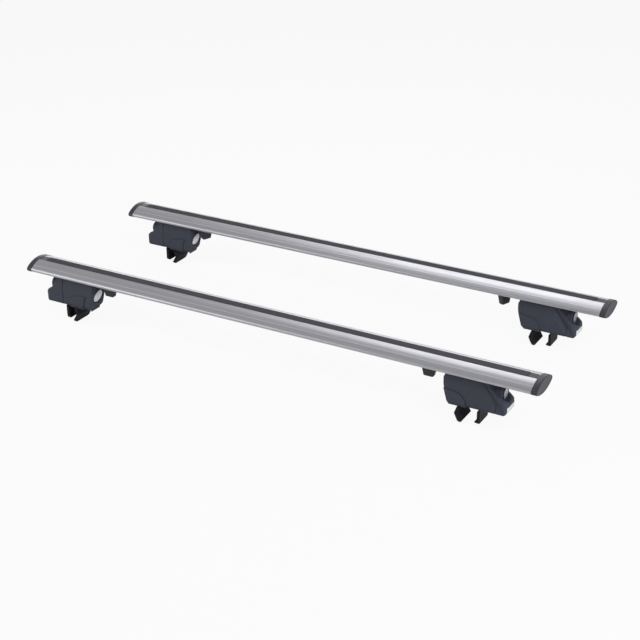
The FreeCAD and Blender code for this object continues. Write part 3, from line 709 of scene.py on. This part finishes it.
class RACK_OT_strips(Step):
    """Rib the tops of the rubber strips"""
    bl_idname = "rack.strips"
    bl_label = "Strips"

    def execute(self, context):
        sizes = context.scene.rack_pieces
        for bar in BARS:
            strip = f"{bar}_strip"
            low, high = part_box(strip)
            size = high - low
            middle = (low + high) / 2
            bm = bmesh.new()
            rows = RIB_STEPS * sizes.rib_count
            bmesh.ops.create_grid(bm, x_segments=1, y_segments=rows, size=1.0)
            bmesh.ops.scale(bm, verts=bm.verts, vec=(size.x / 2, size.y / 2, 1.0))
            for vert in bm.verts:
                share = (vert.co.y / size.y + 0.5) * sizes.rib_count
                wave = abs(math.sin(math.pi * share)) ** RIB_FULLNESS
                vert.co.z = sizes.rib_height * (wave - 1.0)
            bmesh.ops.translate(
                bm, verts=bm.verts, vec=(middle.x, middle.y, high.z + sizes.rib_height))
            bmesh.ops.solidify(bm, geom=bm.faces, thickness=sizes.rib_height / 2)
            finished(strip + "_tread", bm, "strip_rubber", body_of(strip))
        return {"FINISHED"}


class RACK_OT_locks(Step):
    """Add the lock discs' dark rims, raised rings and keyholes, whose dark frames and floors are
    painted shade
    """
    bl_idname = "rack.locks"
    bl_label = "Locks"

    def execute(self, context):
        sizes = context.scene.rack_pieces
        for foot in FEET:
            name = f"{foot}_lock_barrel"
            body = body_of(name)
            middle, way = outer_flat(name, outward(foot))
            low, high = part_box(name)
            radius = (high.z - low.z) / 2
            rim = turned(section(radius - sizes.disc_rim, 0.0, RIM_INSIDE)
                         + section(radius, 0.0, RIM_OUTSIDE))
            laid_on(rim, middle, way)
            finished(f"{foot}_lock_rim", rim, "foot_plastic", body)
            ring = turned(section(sizes.disc_ring, 0.0, RING_SECTION))
            laid_on(ring, middle, way)
            finished(f"{foot}_lock_ring", ring, "lock_metal", body)
            # Each keyhole is painted shade: a dark frame and floor in near black rubber, standing
            # for the shade in the keyway
            keyhole = self.keyhole(sizes)
            laid_on(keyhole, middle, way)
            finished(f"{foot}_keyhole", keyhole, "pad_rubber", body)
        return {"FINISHED"}

    def keyhole(self, sizes):
        """A keyhole's painted shade: a dark frame, a little proud of the disc, and a dark floor
        deep inside it.
        """
        width = sizes.key_shade_frame
        bm = oval_frame(sizes.key_width / 2 + width, sizes.key_height / 2 + width,
                        sizes.key_corner, width, -TENTH, 2 * TENTH)
        floor = Matrix.Diagonal(
            (sizes.key_width - TENTH / 2, sizes.key_height - TENTH, 2 * TENTH, 1.0))
        bmesh.ops.create_cube(
            bm, size=1.0, matrix=Matrix.Translation((0, 0, -sizes.key_shade_depth)) @ floor)
        return bm


class RACK_OT_badges(Step):
    """Add the domed, plain faces of the badges and the lips round them"""
    bl_idname = "rack.badges"
    bl_label = "Badges"

    def execute(self, context):
        sizes = context.scene.rack_pieces
        for foot in FEET:
            name = f"{foot}_end_badge"
            middle, way = outer_flat(name, -outward(foot))
            low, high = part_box(name)
            radius = (high.y - low.y) / 2 - sizes.badge_margin
            face = turned(self.face_profile(radius, sizes), closed=False)
            laid_on(face, middle, way)
            finished(f"{foot}_badge_face", face, "badge_gloss", body_of(name))
            near = radius + sizes.lip_gap
            lip = turned(section(near, sizes.lip_level, LIP_INSIDE)
                         + section(near + sizes.lip_width, sizes.lip_level, LIP_OUTSIDE))
            laid_on(lip, middle, way)
            finished(f"{foot}_badge_lip", lip, "foot_plastic",
                     body_of(f"{foot}_housing"))
        return {"FINISHED"}

    def face_profile(self, radius, sizes):
        """From the top of a badge's dome over its groove and rim to the middle of its back."""
        edge = radius - sizes.badge_rim
        shares = [step / DOME_STEPS for step in range(DOME_STEPS + 1)]
        profile = [(edge * share, sizes.badge_rise + sizes.badge_dome * (1 - share**2))
                   for share in shares]
        profile += section(edge, sizes.badge_rise, BADGE_GROOVE)
        profile += section(radius, sizes.badge_rise, BADGE_RIM)
        return profile + [(radius, -TENTH), (0.0, -TENTH)]


class RACK_OT_labels(Step):
    """Lay the plain labels on the outer ends of the feet"""
    bl_idname = "rack.labels"
    bl_label = "Labels"

    ray_start = 0.08
    clearance = 0.00025

    def execute(self, context):
        sizes = context.scene.rack_pieces
        across, up = LABEL_STEPS
        for foot in FEET:
            cover = f"{foot}_outer_cover"
            skin = surface_of(bpy.data.objects[cover + "_form"])
            way = outward(foot)
            low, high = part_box(f"{foot}_lock_barrel")
            middle = (low + high) / 2
            middle.z = sizes.label_middle
            bm = bmesh.new()
            bmesh.ops.create_grid(bm, x_segments=across, y_segments=up, size=1.0)
            for vert in bm.verts:
                vert.co = self.laid(vert.co, skin, middle, way, sizes)
            bmesh.ops.recalc_face_normals(bm, faces=bm.faces)
            bmesh.ops.solidify(bm, geom=bm.faces, thickness=sizes.label_film)
            bmesh.ops.recalc_face_normals(bm, faces=bm.faces)
            finished(f"{foot}_label", bm, "label_film", body_of(cover))
        return {"FINISHED"}

    def laid(self, share, skin, middle, way, sizes):
        """Where a point of the label's grid, from -1 to 1 both ways, lies on the cover."""
        corner = sizes.label_corner
        rise = share.y * sizes.label_height / 2
        inset = max(0.0, abs(rise) - (sizes.label_height / 2 - corner))
        half = sizes.label_width / 2 - corner + math.sqrt(max(0.0, corner**2 - inset**2))
        start = middle + way * self.ray_start + Vector((0.0, half * share.x, rise))
        found, normal = skin.ray_cast(start, -way)[:2]
        return found + normal * self.clearance


class RACK_OT_stage(Step):
    """Set the floor, the lamps and the camera"""
    bl_idname = "rack.stage"
    bl_label = "Stage"

    def execute(self, context):
        stage = context.scene.rack_stage
        bm = bmesh.new()
        bmesh.ops.create_grid(bm, x_segments=1, y_segments=1, size=FLOOR_REACH)
        mesh = bpy.data.meshes.new("floor")
        bm.to_mesh(mesh)
        bm.free()
        floor = bpy.data.objects.new("floor", mesh)
        context.scene.collection.objects.link(floor)
        floor_paper(stage.floor)
        give(floor, "floor_paper")
        surround()
        for name, (place, size, power, hidden) in LAMPS.items():
            made = lamp(name, place, size, power * stage.level)
            if hidden:
                setattr(made, hidden, False)
        set_camera()
        context.scene.view_settings.view_transform = "Standard"
        return {"FINISHED"}


def surround():
    """White all round for the camera, dimmer where it is mirrored and dim where it lights."""
    world = bpy.data.worlds.new("surround")
    bpy.context.scene.world = world
    world.use_nodes = True
    tree = world.node_tree
    ground = tree.nodes["Background"]
    rays = node(tree, "ShaderNodeLightPath")
    mirrored = spread(
        tree, rays.outputs["Is Glossy Ray"], 0.0, 1.0, SURROUND_LIGHT, SURROUND_MIRRORED)
    seen = node(tree, "ShaderNodeMath", {
        0: mirrored, 1: rays.outputs["Is Camera Ray"]}, operation="MAXIMUM")
    tree.links.new(seen.outputs[0], ground.inputs["Strength"])
    ground.inputs["Color"].default_value = (1.0, 1.0, 1.0, 1.0)


def lamp(name, place, size, power):
    """A rectangular lamp that faces the object and isn't seen itself."""
    data = bpy.data.lights.new(name, "AREA")
    data.shape = "RECTANGLE"
    data.size, data.size_y = size
    data.energy = power
    made = bpy.data.objects.new(name, data)
    bpy.context.scene.collection.objects.link(made)
    made.visible_camera = False
    made.location = place
    facing = Vector(LAMP_TARGET) - Vector(place)
    made.rotation_euler = facing.to_track_quat("-Z", "Y").to_euler()
    return made


def set_camera():
    """The photograph's view."""
    data = bpy.data.cameras.new("camera")
    data.lens = CAMERA_LENS
    data.sensor_width = CAMERA_SENSOR
    data.clip_end = CAMERA_REACH
    camera = bpy.data.objects.new("camera", data)
    bpy.context.scene.collection.objects.link(camera)
    turn = (Matrix.Rotation(math.radians(CAMERA_TURN), 4, "Z")
            @ Matrix.Rotation(math.radians(90 - CAMERA_HEIGHT), 4, "X")
            @ Matrix.Rotation(math.radians(CAMERA_ROLL), 4, "Z"))
    camera.matrix_world = Matrix.Translation(CAMERA_PLACE) @ turn
    bpy.context.scene.camera = camera


STEPS = (RACK_OT_finishes, RACK_OT_mouldings, RACK_OT_tongues, RACK_OT_jaws, RACK_OT_strips,
         RACK_OT_locks, RACK_OT_badges, RACK_OT_labels, RACK_OT_stage)


class RACK_PT_panel(bpy.types.Panel):
    bl_label = "Roof rack"
    bl_space_type = "VIEW_3D"
    bl_region_type = "UI"
    bl_category = "Rack"

    def draw(self, context):
        for step in STEPS:
            self.layout.operator(step.bl_idname)
        scene = context.scene
        for group in (scene.rack_finish, scene.rack_pieces, scene.rack_stage):
            for name in group.__annotations__:
                self.layout.prop(group, name)


CLASSES = (FinishSettings, PieceSettings, StageSettings) + STEPS + (RACK_PT_panel,)


def register():
    for kind in CLASSES:
        bpy.utils.register_class(kind)
    bpy.types.Scene.rack_finish = PointerProperty(type=FinishSettings)
    bpy.types.Scene.rack_pieces = PointerProperty(type=PieceSettings)
    bpy.types.Scene.rack_stage = PointerProperty(type=StageSettings)


def unregister():
    del bpy.types.Scene.rack_finish
    del bpy.types.Scene.rack_pieces
    del bpy.types.Scene.rack_stage
    for kind in reversed(CLASSES):
        bpy.utils.unregister_class(kind)


def main():
    register()
    bpy.ops.rack.finishes()
    bpy.ops.rack.mouldings()
    bpy.ops.rack.tongues()
    bpy.ops.rack.jaws()
    bpy.ops.rack.strips()
    bpy.ops.rack.locks()
    bpy.ops.rack.badges()
    bpy.ops.rack.labels()
    bpy.ops.rack.stage()


if __name__ == "__main__":
    main()
